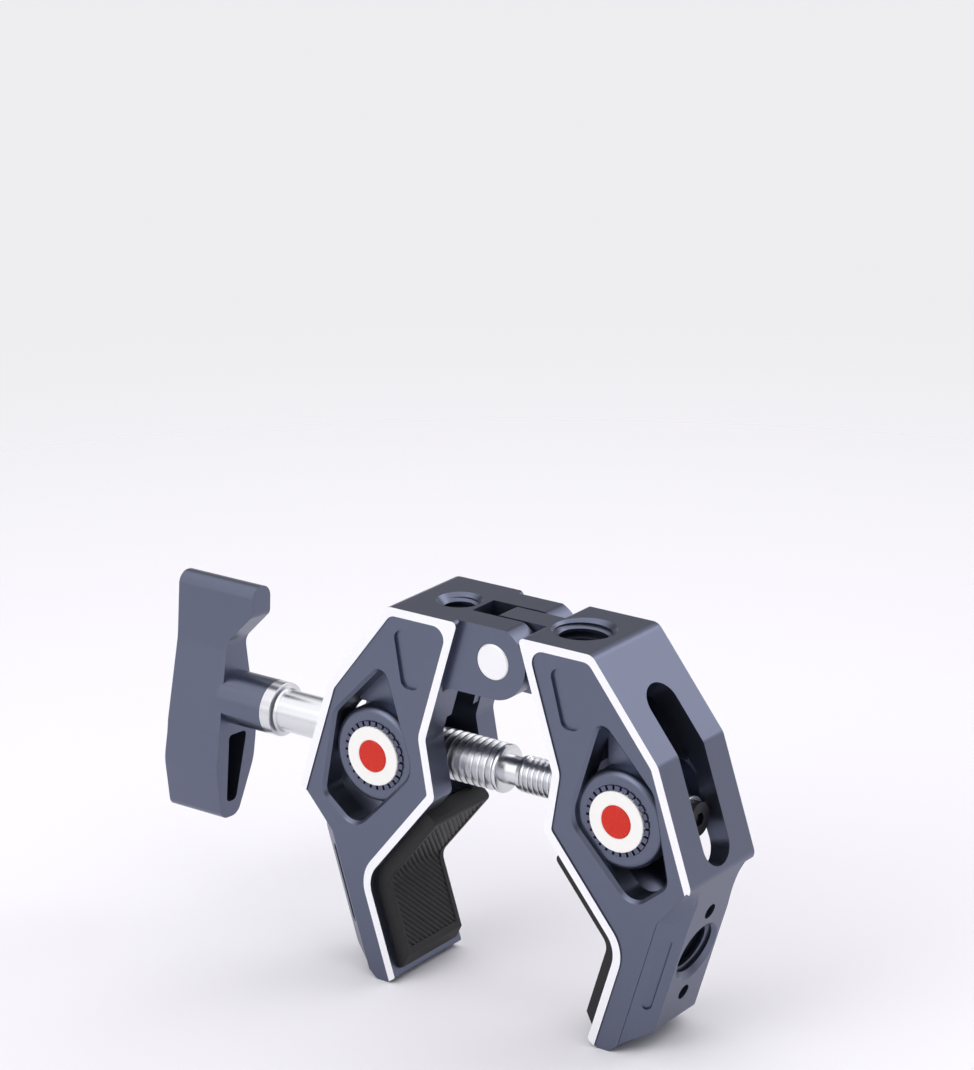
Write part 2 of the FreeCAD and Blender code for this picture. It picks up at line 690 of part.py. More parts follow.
def barrel_nut(x, screw_radius):
    end = FACE_Y - NUT_RECESS
    nut = disc_y(x, SPINDLE_Z, NUT_RADIUS, -end, end)
    nut.rotate(point(x, SPINDLE_Z), ACROSS, SEAM_TURN)
    cutters = [disc_x(screw_radius + RUNNING_CLEARANCE, x - CUT, x + CUT)]
    for side in (-1, 1):
        low, high = sorted((side * (end - RING_SEAT), side * (end + SPILL)))
        cutters.append(disc_y(x, SPINDLE_Z, RING_RADIUS, low, high))
        low, high = sorted((side * (end - NOTCH_DEPTH), side * (end + SPILL)))
        for index in range(NOTCH_COUNT):
            inner = RING_RADIUS - RING_SEAT
            corner = FreeCAD.Vector(x + inner, low, SPINDLE_Z - NOTCH_WIDTH / 2)
            length = NUT_RADIUS + SPILL - inner
            notch = Part.makeBox(length, high - low, NOTCH_WIDTH, corner)
            angle = 360.0 * index / NOTCH_COUNT
            cutters.append(notch.rotate(point(x, SPINDLE_Z), ACROSS, angle))
    return nut.cut(cutters)


def nut_ring(x, side):
    end = FACE_Y - NUT_RECESS
    low, high = sorted((side * (end - RING_SEAT), side * (end + RING_PROUD)))
    ring = disc_y(x, SPINDLE_Z, RING_RADIUS - PRESS_CLEARANCE, low, high)
    return ring.cut(disc_y(x, SPINDLE_Z, RING_INNER_RADIUS, low, high))


def nut_cap(x, side):
    end = FACE_Y - NUT_RECESS
    low, high = sorted((side * (end - RING_SEAT), side * (end + RING_PROUD + CAP_PROUD)))
    return disc_y(x, SPINDLE_Z, RING_INNER_RADIUS - PRESS_CLEARANCE, low, high)


def turned(profile):
    """Solid of revolution about the spindle's axis from (x, radius) points."""
    corners = [point(x, SPINDLE_Z + radius) for x, radius in profile]
    corners.insert(0, point(profile[0][0], SPINDLE_Z))
    corners.append(point(profile[-1][0], SPINDLE_Z))
    face = Part.Face(Part.makePolygon(corners + corners[:1]))
    return face.revolve(point(0, SPINDLE_Z), ALONG, 360)


def stop_x():
    return NUT_X + NUT_RADIUS + STOP_GAP


def spindle():
    shoulder = COLLAR_LEFT_X + COLLAR_LENGTH
    neck_right = NECK_LEFT_X + NECK_LENGTH
    small_end = stop_x() - STOP_PLAY / 2
    spigot_end = stop_x() + STOP_THICKNESS + STOP_PLAY / 2
    profile = [
        (TANG_END_X, TANG_RADIUS),
        (shoulder, TANG_RADIUS),
        (shoulder, SHAFT_RADIUS + COLLAR_FILLET),
        (shoulder + COLLAR_FILLET, SHAFT_RADIUS),
        (LARGE_END_X, SHAFT_RADIUS),
        (LARGE_END_X + SCREW_CHAMFER, LARGE_SCREW_RADIUS),
        (NECK_LEFT_X - 2 * SCREW_CHAMFER, LARGE_SCREW_RADIUS),
        (NECK_LEFT_X, LARGE_SCREW_RADIUS - SCREW_CHAMFER),
        (NECK_LEFT_X, NECK_RADIUS),
        (neck_right, NECK_RADIUS),
        (neck_right + SCREW_CHAMFER, SMALL_SCREW_RADIUS),
        (small_end - SCREW_CHAMFER, SMALL_SCREW_RADIUS),
        (small_end, SMALL_SCREW_RADIUS - SCREW_CHAMFER),
        (small_end, SPIGOT_RADIUS),
        (spigot_end, SPIGOT_RADIUS),
    ]
    bar = turned(profile)
    bar = bar.cut(disc_x(END_SCREW_SHANK, spigot_end - END_SCREW_LENGTH, spigot_end + SPILL))
    screw_end = HANDLE_LEFT_X + HANDLE_SCREW_LENGTH
    return bar.cut(disc_x(HANDLE_SCREW_SHANK, TANG_END_X - SPILL, screw_end))


def stop_washer():
    washer = disc_x(STOP_RADIUS, stop_x(), stop_x() + STOP_THICKNESS)
    return washer.cut(disc_x(SPIGOT_RADIUS + RUNNING_CLEARANCE, stop_x(), stop_x() + STOP_THICKNESS))


def hex_socket(x_low, x_high, flats):
    radius = flats / math.sqrt(3)
    corners = []
    for index in range(7):
        angle = math.radians(60 * index)
        corners.append(FreeCAD.Vector(x_low, radius * math.cos(angle),
                                      SPINDLE_Z + radius * math.sin(angle)))
    return Part.Face(Part.makePolygon(corners)).extrude(ALONG * (x_high - x_low))


def end_screw():
    seat = stop_x() + STOP_THICKNESS + STOP_PLAY / 2
    top = seat + END_SCREW_HEAD
    shank = disc_x(END_SCREW_SHANK, seat - END_SCREW_LENGTH, seat)
    head = disc_x(END_SCREW_RADIUS, seat, top)
    return head.fuse(shank).cut(hex_socket(top - SOCKET_DEPTH, top + SPILL, SOCKET_FLATS))


def collar():
    right = COLLAR_LEFT_X + COLLAR_LENGTH
    ring = disc_x(COLLAR_RADIUS, COLLAR_LEFT_X, right)
    return ring.cut(disc_x(TANG_RADIUS + PRESS_CLEARANCE, COLLAR_LEFT_X, right))


def side_slab(corners, x_low, x_high):
    """Plate whose outline is given as (y, height above the spindle, radius)."""
    raised = [(y, SPINDLE_Z + height, radius) for y, height, radius in corners]
    plate = slab(raised, 0, x_high - x_low)
    plate.rotate(point(0, 0), UP, 90)
    plate.translate(ALONG * x_high)
    return plate


def both_halves(corners):
    """Outline that is the same on both sides of the lever's middle."""
    return corners + [(-y, height, radius) for y, height, radius in reversed(corners)]


def handle():
    """Lever with a wide beaked top and a full, rounded foot, and a hub towards the jaws."""
    over = SPINDLE_Z + HANDLE_TOP + SPILL
    under = SPINDLE_Z + HANDLE_BOTTOM
    bend = SPINDLE_Z + HANDLE_BEND
    front = [
        (HANDLE_LEFT_X, over, 0),
        (HANDLE_BEAK_X, over, 0),
        (HANDLE_BEAK_X, SPINDLE_Z + HANDLE_BEAK_DROP, HANDLE_BEAK_ROUND),
        (HANDLE_THROAT_X, SPINDLE_Z + HANDLE_THROAT, HANDLE_THROAT_ROUND),
        (HANDLE_RIGHT_X, bend, HANDLE_BEND_ROUND),
        (HANDLE_RIGHT_X - HANDLE_LEAN, under, 0),
        (HANDLE_RIGHT_X - HANDLE_LEAN, under - SPILL, 0),
        (HANDLE_LEFT_X - HANDLE_LEAN, under - SPILL, 0),
        (HANDLE_LEFT_X - HANDLE_LEAN, under, 0),
        (HANDLE_LEFT_X, bend, HANDLE_BEND_ROUND),
    ]
    lever = slab(front, -CUT / 2, CUT / 2)
    profile = both_halves([LEVER_TOP, LEVER_WAIST, LEVER_BELLY, LEVER_THIGH, LEVER_FOOT])
    lever = lever.common(side_slab(profile, -CUT * 2, 0))
    lever = lever.fuse(disc_x(HUB_RADIUS, HANDLE_RIGHT_X - SPILL, COLLAR_LEFT_X))
    pocket = both_halves([LEVER_POCKET_TOP, LEVER_POCKET_BOTTOM])
    lever = lever.cut(side_slab(pocket, HANDLE_RIGHT_X - HANDLE_POCKET_DEPTH, HANDLE_RIGHT_X + SPILL))
    lever = lever.cut(disc_x(TANG_RADIUS + PRESS_CLEARANCE, TANG_END_X, COLLAR_LEFT_X + SPILL))
    lever = lever.cut(handle_screw_solid(PRESS_CLEARANCE))
    lever.rotate(point(0, SPINDLE_Z), ALONG, HANDLE_TURN)
    return lever.removeSplitter()


def handle_screw_solid(growth=0.0):
    head = HANDLE_SCREW_RADIUS - HANDLE_SCREW_SHANK
    profile = [
        (HANDLE_LEFT_X, HANDLE_SCREW_RADIUS + growth),
        (HANDLE_LEFT_X + head, HANDLE_SCREW_SHANK + growth),
        (HANDLE_LEFT_X + HANDLE_SCREW_LENGTH, HANDLE_SCREW_SHANK + growth),
    ]
    return turned(profile)


def handle_screw():
    socket = hex_socket(HANDLE_LEFT_X - SPILL, HANDLE_LEFT_X + HANDLE_SOCKET_DEPTH,
                        HANDLE_SOCKET_FLATS)
    return handle_screw_solid().cut(socket)


def main():
    os.makedirs("parts", exist_ok=True)
    pad = pad_solid().cut(pad_field())
    nodes = {
        "left_jaw": left_jaw(),
        "right_jaw": right_jaw(),
        "hinge_pin": hinge_pin(),
        "hinge_washer_front": hinge_washer(-1),
        "hinge_washer_back": hinge_washer(1),
        "left_pad": mirrored(pad),
        "right_pad": pad,
        "left_nut": barrel_nut(-NUT_X, LARGE_SCREW_RADIUS),
        "right_nut": barrel_nut(NUT_X, SMALL_SCREW_RADIUS),
        "spindle": spindle(),
        "spindle_collar": collar(),
        "stop_washer": stop_washer(),
        "end_screw": end_screw(),
        "handle": handle(),
        "handle_screw": handle_screw(),
    }
    for name, x in (("left", -NUT_X), ("right", NUT_X)):
        for place, side in (("front", -1), ("back", 1)):
            nodes[f"{name}_nut_ring_{place}"] = nut_ring(x, side)
            nodes[f"{name}_nut_cap_{place}"] = nut_cap(x, side)
    for name, shape in nodes.items():
        shape.exportStep(f"parts/{name}.step")
        print(name, shape.isValid(), len(shape.Solids), round(shape.Volume, 1))


main()
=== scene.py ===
# %% [markdown]
# # Crab clamp
# A crab clamp grips a tube between two hinged jaws. Its metal parts come from the construction
# model; this script gives them their finishes, cuts the screw threads and moulds the rubber pads.

# %% Load the construction model
import json
import math

import bmesh
import bpy
from mathutils import Matrix, Vector


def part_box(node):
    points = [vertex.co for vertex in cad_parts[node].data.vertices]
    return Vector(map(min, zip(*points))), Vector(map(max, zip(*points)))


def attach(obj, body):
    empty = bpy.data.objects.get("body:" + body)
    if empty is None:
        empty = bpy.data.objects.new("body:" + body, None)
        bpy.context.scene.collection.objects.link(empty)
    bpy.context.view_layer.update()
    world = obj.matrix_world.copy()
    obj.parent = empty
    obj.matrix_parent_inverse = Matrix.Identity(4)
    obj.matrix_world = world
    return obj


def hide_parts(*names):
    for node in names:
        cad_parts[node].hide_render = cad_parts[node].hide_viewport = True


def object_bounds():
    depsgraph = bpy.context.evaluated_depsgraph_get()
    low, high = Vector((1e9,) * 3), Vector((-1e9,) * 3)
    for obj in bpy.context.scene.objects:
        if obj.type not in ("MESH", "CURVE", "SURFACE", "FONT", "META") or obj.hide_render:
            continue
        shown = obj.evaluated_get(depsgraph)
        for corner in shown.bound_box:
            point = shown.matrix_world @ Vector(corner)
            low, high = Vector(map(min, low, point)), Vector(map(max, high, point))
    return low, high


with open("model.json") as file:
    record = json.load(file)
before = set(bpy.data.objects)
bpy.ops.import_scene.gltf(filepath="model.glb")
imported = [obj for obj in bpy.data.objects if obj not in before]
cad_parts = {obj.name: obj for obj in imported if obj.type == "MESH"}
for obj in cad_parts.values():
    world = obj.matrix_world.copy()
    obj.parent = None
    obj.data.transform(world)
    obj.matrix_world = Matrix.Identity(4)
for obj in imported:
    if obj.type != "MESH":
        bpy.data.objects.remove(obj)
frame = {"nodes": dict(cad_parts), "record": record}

cad_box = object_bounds()
MM = 0.001
BODY_OF = {}
for body_name, members in frame["record"]["behaviour"]["bodies"].items():
    for member in members:
        BODY_OF[member] = body_name


# %% [markdown]
# ## Colours and nodes
# Colours are picked as sRGB hex values, as on a screen, but shaders work in linear light, so one
# function turns them, with the numbers of the sRGB standard. A second small function adds a
# shader node, sets its inputs and links it.

# %% Helpers for materials
def linear(hex_value):
    """Linear red, green, blue and alpha of an sRGB hex colour such as "5e6275"."""
    channels = []
    for place in (0, 2, 4):
        value = int(hex_value[place:place + 2], 16) / 255
        if value <= 0.04045:
            channels.append(value / 12.92)
        else:
            channels.append(((value + 0.055) / 1.055) ** 2.4)
    return (*channels, 1.0)


def add_node(tree, kind, inputs=None, **settings):
    """A node with its settings; an input is a value, or the output of another node."""
    node = tree.nodes.new(kind)
    for name, value in settings.items():
        setattr(node, name, value)
    for name, value in (inputs or {}).items():
        socket = node.inputs[name]
        if isinstance(value, bpy.types.NodeSocket):
            tree.links.new(value, socket)
        else:
            socket.default_value = value
    return node


def new_material(name, colour, **shader):
    """Material with one principled shader, and its tree to add to."""
    material = bpy.data.materials.new(name)
    material.use_nodes = True
    tree = material.node_tree
    surface = tree.nodes["Principled BSDF"]
    surface.inputs["Base Color"].default_value = linear(colour)
    for socket, value in shader.items():
        surface.inputs[socket.replace("_", " ")].default_value = value
    return material, tree, surface


def fine_grain(tree, size_mm, depth_mm, strength=1.0):
    """Bump of a fine even grain, such as blasting or moulding leaves; size is one grain."""
    place = add_node(tree, "ShaderNodeTexCoord")
    grain = add_node(tree, "ShaderNodeTexNoise", {
        "Vector": place.outputs["Object"], "Scale": 1 / (size_mm * MM), "Detail": 2.0})
    return add_node(tree, "ShaderNodeBump", {
        "Height": grain.outputs["Fac"], "Distance": depth_mm * MM, "Strength": strength})


# %% [markdown]
# ## Anodised jaws with a bare rim
# The jaws are blasted aluminium, anodised blue-grey, which gives a soft satin surface. Their rim
# is then milled bare and shows bright alloy. The rim is the outermost level of each face, so the
# mask needs no drawing: whatever lies further out along the hinge than the milling level is bare.

# %% Anodised aluminium
FACE_LEVEL = max(abs(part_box("right_jaw")[0].y), abs(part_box("right_jaw")[1].y))
MILLING_DEPTH = 0.03 * MM
METAL_SHARE = 0.95                # the oxide coat scatters a little light by itself
MILLED_SHARE = 0.35               # fine tool marks scatter most of it
SATIN_ROUGHNESS = 0.34
MILLED_ROUGHNESS = 0.3
BLAST_GRAIN_MM = 0.15
BLAST_DEPTH_MM = 0.004
ANODISED = "676c7e"
ANODISED_NUT = "62667a"           # a little darker than the jaws
BARE_ALLOY = "f8f8fb"


def rim_mask(tree):
    """1 on the milled rim of the jaws' faces, 0 elsewhere."""
    place = add_node(tree, "ShaderNodeTexCoord")
    apart = add_node(tree, "ShaderNodeSeparateXYZ", {"Vector": place.outputs["Object"]})
    distance = add_node(tree, "ShaderNodeMath", {0: apart.outputs["Y"]}, operation="ABSOLUTE")
    return add_node(tree, "ShaderNodeMath", {
        0: distance.outputs[0], 1: FACE_LEVEL - MILLING_DEPTH}, operation="GREATER_THAN")


def anodised_with_rim():
    # Anodised, bead-blasted aluminium: satin, with soft wide highlights
    material, tree, surface = new_material("anodised_aluminium_milled_rim", ANODISED)
    mask = rim_mask(tree).outputs[0]
    colour = add_node(tree, "ShaderNodeMix", {
        "Factor": mask, 6: linear(ANODISED), 7: linear(BARE_ALLOY)}, data_type="RGBA")
    rough = add_node(tree, "ShaderNodeMapRange", {
        "Value": mask, "To Min": SATIN_ROUGHNESS, "To Max": MILLED_ROUGHNESS})
    metal = add_node(tree, "ShaderNodeMapRange", {
        "Value": mask, "To Min": METAL_SHARE, "To Max": MILLED_SHARE})
    grain = fine_grain(tree, BLAST_GRAIN_MM, BLAST_DEPTH_MM)
    tree.links.new(colour.outputs[2], surface.inputs["Base Color"])
    tree.links.new(rough.outputs["Result"], surface.inputs["Roughness"])
    tree.links.new(metal.outputs["Result"], surface.inputs["Metallic"])
    tree.links.new(grain.outputs["Normal"], surface.inputs["Normal"])
    return material


def anodised_plain(name, colour):
    # The same anodising without a bare rim
    material, tree, surface = new_material(
        name, colour, Metallic=METAL_SHARE, Roughness=SATIN_ROUGHNESS)
    grain = fine_grain(tree, BLAST_GRAIN_MM, BLAST_DEPTH_MM)
    tree.links.new(grain.outputs["Normal"], surface.inputs["Normal"])
    return material


anodised_rimmed = anodised_with_rim()
anodised_lever = anodised_plain("anodised_aluminium_lever", ANODISED)
anodised_nut = anodised_plain("anodised_aluminium_nut", ANODISED_NUT)
print("face level", round(FACE_LEVEL / MM, 2), "mm")


# %% [markdown]
# ## Steel, plastic and rubber
# The spindle is turned and polished steel: a metal with a low roughness mirrors the bright room.
# The caps are red anodised discs faced on a lathe; the highlight that their turning marks fan out
# is painted into their colour as streaks. Rings are white plastic, pads black rubber with hardly
# any shine. Most of these need only the shader's own sockets; the rubber gets a grain, and the
# caps painted highlight streaks round their axis.

# %% The other materials
# Polished steel: a soft mirror that shows the bright and the dark parts of the room
polished_steel = new_material("polished_steel", "dcdde0", Metallic=1.0, Roughness=0.26)[0]
# Blackened steel screws: dark, with a dull glint
blackened_steel = new_material("blackened_steel", "2c2c30", Metallic=0.8, Roughness=0.4)[0]
# Turned acetal: white and smooth, with a small highlight
white_plastic = new_material("white_acetal", "f3f2ee", Roughness=0.35)[0]
# Nylon washers: black and nearly matt
dark_nylon = new_material("black_nylon", "2a2a2e", Roughness=0.5)[0]
# Brushed steel pin: its scratches scatter the light, so it looks nearly white
pin_steel = new_material("brushed_pin_steel", "f4f4f6", Metallic=0.25, Roughness=0.35)[0]
MOULD_GRAIN_MM = 0.3
MOULD_DEPTH_MM = 0.01
CAP_RED = "d2301f"
# Painted highlight on the caps: darker and lighter streaks of their colour, round their axis
CAP_PAINTED_SHADE_STREAK = "bf2218"
CAP_PAINTED_HIGHLIGHT_STREAK = "dc3929"
PAINTED_STREAKS_PER_RADIAN = 6.0


def moulded_rubber():
    # Natural rubber, moulded against a blasted die: nearly black with a faint grey sheen
    material, tree, surface = new_material("moulded_rubber", "1f1f21", Roughness=0.62)
    surface.inputs["Specular IOR Level"].default_value = 0.4
    grain = fine_grain(tree, MOULD_GRAIN_MM, MOULD_DEPTH_MM)
    tree.links.new(grain.outputs["Normal"], surface.inputs["Normal"])
    return material


def cap_with_painted_streaks(name, centre_x, centre_z):
    # Red anodised aluminium faced on a lathe, with painted highlight streaks round its axis
    material, tree, surface = new_material(name, CAP_RED, Metallic=0.2, Roughness=0.36)
    surface.inputs["Specular IOR Level"].default_value = 0.25
    place = add_node(tree, "ShaderNodeTexCoord")
    apart = add_node(tree, "ShaderNodeSeparateXYZ", {"Vector": place.outputs["Object"]})
    across = add_node(tree, "ShaderNodeMath", {0: apart.outputs["X"], 1: centre_x},
                      operation="SUBTRACT")
    along = add_node(tree, "ShaderNodeMath", {0: apart.outputs["Z"], 1: centre_z},
                     operation="SUBTRACT")
    angle = add_node(tree, "ShaderNodeMath", {0: across.outputs[0], 1: along.outputs[0]},
                     operation="ARCTAN2")
    # Painted highlight: the colour turns darker or lighter with the angle round the axis
    painted_streaks = add_node(tree, "ShaderNodeTexNoise", {
        "W": angle.outputs[0], "Scale": PAINTED_STREAKS_PER_RADIAN}, noise_dimensions="1D")
    painted_streak_colour = add_node(tree, "ShaderNodeMix", {
        "Factor": painted_streaks.outputs["Fac"], 6: linear(CAP_PAINTED_SHADE_STREAK),
        7: linear(CAP_PAINTED_HIGHLIGHT_STREAK)}, data_type="RGBA")
    tree.links.new(painted_streak_colour.outputs[2], surface.inputs["Base Color"])
    return material


rubber = moulded_rubber()
print("materials:", len(bpy.data.materials))


# %% [markdown]
# ## Dressing the construction solids
# The imported solids are loose triangles, so light would break at each one. A copy of each is
# welded, its flat triangles are merged back to whole faces, and its edges get the small break
# that every machined or moulded edge has: that thin highlight is what makes metal look real.

# %% Copy, weld and smooth a solid
SMOOTH_BELOW = math.radians(32)
FLAT_BELOW = math.radians(0.4)


def finish_mesh(work, name, materials):
    """A smooth-shaded object from a bmesh, sharp where faces meet at an angle."""
    for face in work.faces:
        face.smooth = True
    for edge in work.edges:
        edge.smooth = len(edge.link_faces) == 2 and edge.calc_face_angle(0) < SMOOTH_BELOW
    mesh = bpy.data.meshes.new(name)
    work.to_mesh(mesh)
    work.free()
    for material in materials:
        mesh.materials.append(material)
    piece = bpy.data.objects.new(name, mesh)
    bpy.context.scene.collection.objects.link(piece)
    return piece


def break_edges(piece, width_mm, segments=3):
    """Small rounding along the sharp edges."""
    bevel = piece.modifiers.new("edge_break", "BEVEL")
    bevel.width = width_mm * MM
    bevel.segments = segments
    bevel.limit_method = "ANGLE"
    bevel.angle_limit = SMOOTH_BELOW
    bevel.use_clamp_overlap = True
    return piece


def even_shading(piece):
    """Shading normals that follow the large faces, so that flats stay flat beside their edges."""
    normals = piece.modifiers.new("even_shading", "WEIGHTED_NORMAL")
    normals.keep_sharp = True
    return piece


def cut_away(piece, cutters, material):
    """The piece with its cutters subtracted, as one settled mesh."""
    for cutter in cutters:
        cut = piece.modifiers.new(cutter.name, "BOOLEAN")
        cut.operation = "DIFFERENCE"
        cut.solver = "EXACT"
        cut.object = cutter
    shaped = bmesh.new()
    shaped.from_object(piece, bpy.context.evaluated_depsgraph_get())
    name = piece.name
    for spent in (piece, *cutters):
        bpy.data.objects.remove(spent)
    return finish_mesh(shaped, name, [material])


def dress(node, name, material, edge_mm, slot, cutters=()):
    """The finished copy of a construction node, in its place and on its body."""
    work = bmesh.new()
    work.from_mesh(frame["nodes"][node].data)
    bmesh.ops.remove_doubles(work, verts=work.verts, dist=0.001 * MM)
    bmesh.ops.dissolve_limit(work, angle_limit=FLAT_BELOW, verts=work.verts, edges=work.edges)
    piece = finish_mesh(work, name, [material])
    if edge_mm:
        break_edges(piece, edge_mm)
    if cutters:
        piece = cut_away(piece, cutters, material)
    even_shading(piece)
    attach(piece, BODY_OF[node])
    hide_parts(node)
    return piece


# %% [markdown]
# ## Tapped holes
# Accessories screw into the jaws: the holes on top and in the legs are tapped. A thread is a
# V-shaped section carried round an axis while it steps forward, which is what a spin with an
# offset does. Inside a hole the same ridge is a cutter that is subtracted from the metal.

# %% A thread, and the cutters of the tapped holes
STEPS_A_TURN = 48
FOOT_SHARE = 0.46                 # half the ridge's foot, as a share of the pitch
CREST_SHARE = 0.09                # half its flat crest
CUTTER_FOOT_MM = 0.3              # the cutter's foot lies this far inside the bore
CUTTER_LEAD_IN = 0.6              # turns before the mouth


def thread(work, crest_radius, root_radius, pitch, start, end, hand):
    """Ridge wound about the X axis between two stations; hand is 1 for right, -1 for left."""
    half_root = FOOT_SHARE * pitch
    half_crest = CREST_SHARE * pitch
    corners = [(-half_root, root_radius), (-half_crest, crest_radius), (half_crest, crest_radius),
               (half_root, root_radius)]
    steps = int((end - start - 2 * half_root) / pitch * STEPS_A_TURN)
    verts = [work.verts.new((start + half_root + x, 0, radius)) for x, radius in corners]
    section = work.faces.new(verts)
    bmesh.ops.spin(work, geom=[section], cent=(0, 0, 0), axis=(1, 0, 0),
                   angle=hand * math.tau * steps / STEPS_A_TURN, steps=steps,
                   dvec=(pitch / STEPS_A_TURN, 0, 0))


def tap(name, mouth_mm, inward, bore_mm, major_mm, pitch_mm, depth_mm):
    """Cutter for a right-handed thread in a hole, from its mouth inwards."""
    work = bmesh.new()
    thread(work, major_mm * MM, (bore_mm - CUTTER_FOOT_MM) * MM, pitch_mm * MM,
           -CUTTER_LEAD_IN * pitch_mm * MM, depth_mm * MM, 1)
    turned = Vector((1, 0, 0)).rotation_difference(Vector(inward)).to_matrix().to_4x4()
    place = Matrix.Translation(Vector(mouth_mm) * MM) @ turned
    bmesh.ops.transform(work, matrix=place, verts=work.verts)
    bmesh.ops.recalc_face_normals(work, faces=work.faces)
    return finish_mesh(work, name, [])


LEG_LEAN = math.radians(17.4)
TOP_HOLE_MM = (11.9, 0, 47.4)
SIDE_HOLE_MM = (33.095, 0, -1.295)
TOP_TAP_DEPTH_MM = 8.6
LEG_TAP_DEPTH_MM = 5.3
WIDE_THREAD = {"bore_mm": 4.0, "major_mm": 4.76, "pitch_mm": 1.5875}
NARROW_THREAD = {"bore_mm": 2.6, "major_mm": 3.17, "pitch_mm": 1.27}


def jaw_taps(side, top_thread):
    """Cutters for a jaw's hole on top and for the one in its leg."""
    hand = 1 if side == "right" else -1
    top = tap(f"top_tap_{side}", (hand * TOP_HOLE_MM[0], 0, TOP_HOLE_MM[2]), (0, 0, -1),
              depth_mm=TOP_TAP_DEPTH_MM, **top_thread)
    leg = tap(f"leg_tap_{side}", (hand * SIDE_HOLE_MM[0], 0, SIDE_HOLE_MM[2]),
              (-hand * math.cos(LEG_LEAN), 0, math.sin(LEG_LEAN)),
              depth_mm=LEG_TAP_DEPTH_MM, **WIDE_THREAD)
    return [top, leg]


# %% [markdown]
# ## Jaws
# Each jaw is one milled block with two side plates. Its form comes from the construction model,
# so it only needs its edges broken and its holes tapped. The bevel is done before the threads
# are cut, because it would round every turn of a thread as well.

# %% Jaws
JAW_EDGE_MM = 0.28
for side, top_thread in (("left", NARROW_THREAD), ("right", WIDE_THREAD)):
    jaw = dress(f"{side}_jaw", f"jaw_{side}", anodised_rimmed, JAW_EDGE_MM, "blue_anodising",
                jaw_taps(side, top_thread))
    print(jaw.name, "has", len(jaw.data.polygons), "faces")

# %% [markdown]
# ## Webs between the side plates
# Above each nut the space between the side plates narrows to the width of the slot, which is why
# little light comes through the slot there. A web is a flat outline that is extruded until it
# stands a little way into the side plate, so that no gap can show.

# %% Webs
WEB_MM = ((19.3, 28.3), (28.9, 28.3), (28.8, 29.6), (22.5, 37.7), (19.3, 37.7))
WEB_OUTER_MM = 4.5                # a little into the side plate
WEB_EDGE_MM = 0.2
SLOT_HALF_WIDTH_MM = {"left": 4.1, "right": 3.55}


def web(side, end):
    """Flat web on the inner side of one side plate, above the nut."""
    hand = 1 if side == "right" else -1
    facing = -1 if end == "front" else 1
    inner = SLOT_HALF_WIDTH_MM[side] * MM
    work = bmesh.new()
    verts = [work.verts.new((hand * x * MM, facing * inner, z * MM)) for x, z in WEB_MM]
    plate = work.faces.new(verts)
    grown = bmesh.ops.extrude_face_region(work, geom=[plate])
    moved = [item for item in grown["geom"] if isinstance(item, bmesh.types.BMVert)]
    bmesh.ops.translate(work, verts=moved, vec=(0, facing * (WEB_OUTER_MM * MM - inner), 0))
    bmesh.ops.recalc_face_normals(work, faces=work.faces)
    piece = finish_mesh(work, f"web_{side}_{end}", [anodised_rimmed])
    break_edges(piece, WEB_EDGE_MM)
    even_shading(piece)
    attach(piece, BODY_OF[f"{side}_jaw"])


for side in ("left", "right"):
    for end in ("front", "back"):
        web(side, end)
print("webs reach", WEB_OUTER_MM, "mm from the middle")


# %% [markdown]
# ## Lever, pins, screws and nuts
# The small parts are turned or milled, and the construction model has their full form. What is
# left is the edge: a hand-held lever is rounded most, a turned pin or screw hardly at all. One
# table holds them, so that the widths can be compared at a glance.

# %% Lever, pins and screws
# Construction node, name, material, width of the broken edge in mm, slot
PLAIN_PIECES = (
    ("handle", "lever", anodised_lever, 0.5, "blue_anodising"),
    ("hinge_pin", "pin", pin_steel, 0.1, "bright_steel"),
    ("spindle_collar", "collar", polished_steel, 0.1, "bright_steel"),
    ("stop_washer", "washer", polished_steel, 0.08, "bright_steel"),
    ("end_screw", "screw_end", blackened_steel, 0.08, "black_steel"),
    ("handle_screw", "screw_lever", blackened_steel, 0.08, "black_steel"),
)
for plain_piece in PLAIN_PIECES:
    dress(*plain_piece)
print("plain pieces:", len(PLAIN_PIECES))

# %% Nuts with their rings and caps, and the hinge's washers
NUT_EDGE_MM = 0.06
RING_EDGE_MM = 0.12
CAP_EDGE_MM = 0.2
WASHER_EDGE_MM = 0.0              # stamped from sheet, too thin to round
for side in ("left", "right"):
    dress(f"{side}_nut", f"nut_{side}", anodised_nut, NUT_EDGE_MM, "nut_anodising")
    low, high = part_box(f"{side}_nut")
    # Each cap's colour carries painted highlight streaks round its nut's axis
    cap_painted_streaks = cap_with_painted_streaks(f"cap_painted_highlight_{side}", (low.x + high.x) / 2, (low.z + high.z) / 2)
    for end in ("front", "back"):
        dress(f"{side}_nut_ring_{end}", f"ring_{side}_{end}", white_plastic, RING_EDGE_MM,
              "white_ring")
        dress(f"{side}_nut_cap_{end}", f"cap_{side}_{end}", cap_painted_streaks, CAP_EDGE_MM, "red_cap")
for end in ("front", "back"):
    dress(f"hinge_washer_{end}", f"washer_hinge_{end}", dark_nylon, WASHER_EDGE_MM, "dark_nylon")


# %% [markdown]
# ## Spindle with its two threads
# The spindle is turned from one bar, so a profile spun about the X axis makes it. The threads
# are rolled in: the large one left-handed, the small one right-handed, so that one turn draws
# both jaws together. Each thread is a ridge spun with a step forward at every turn.

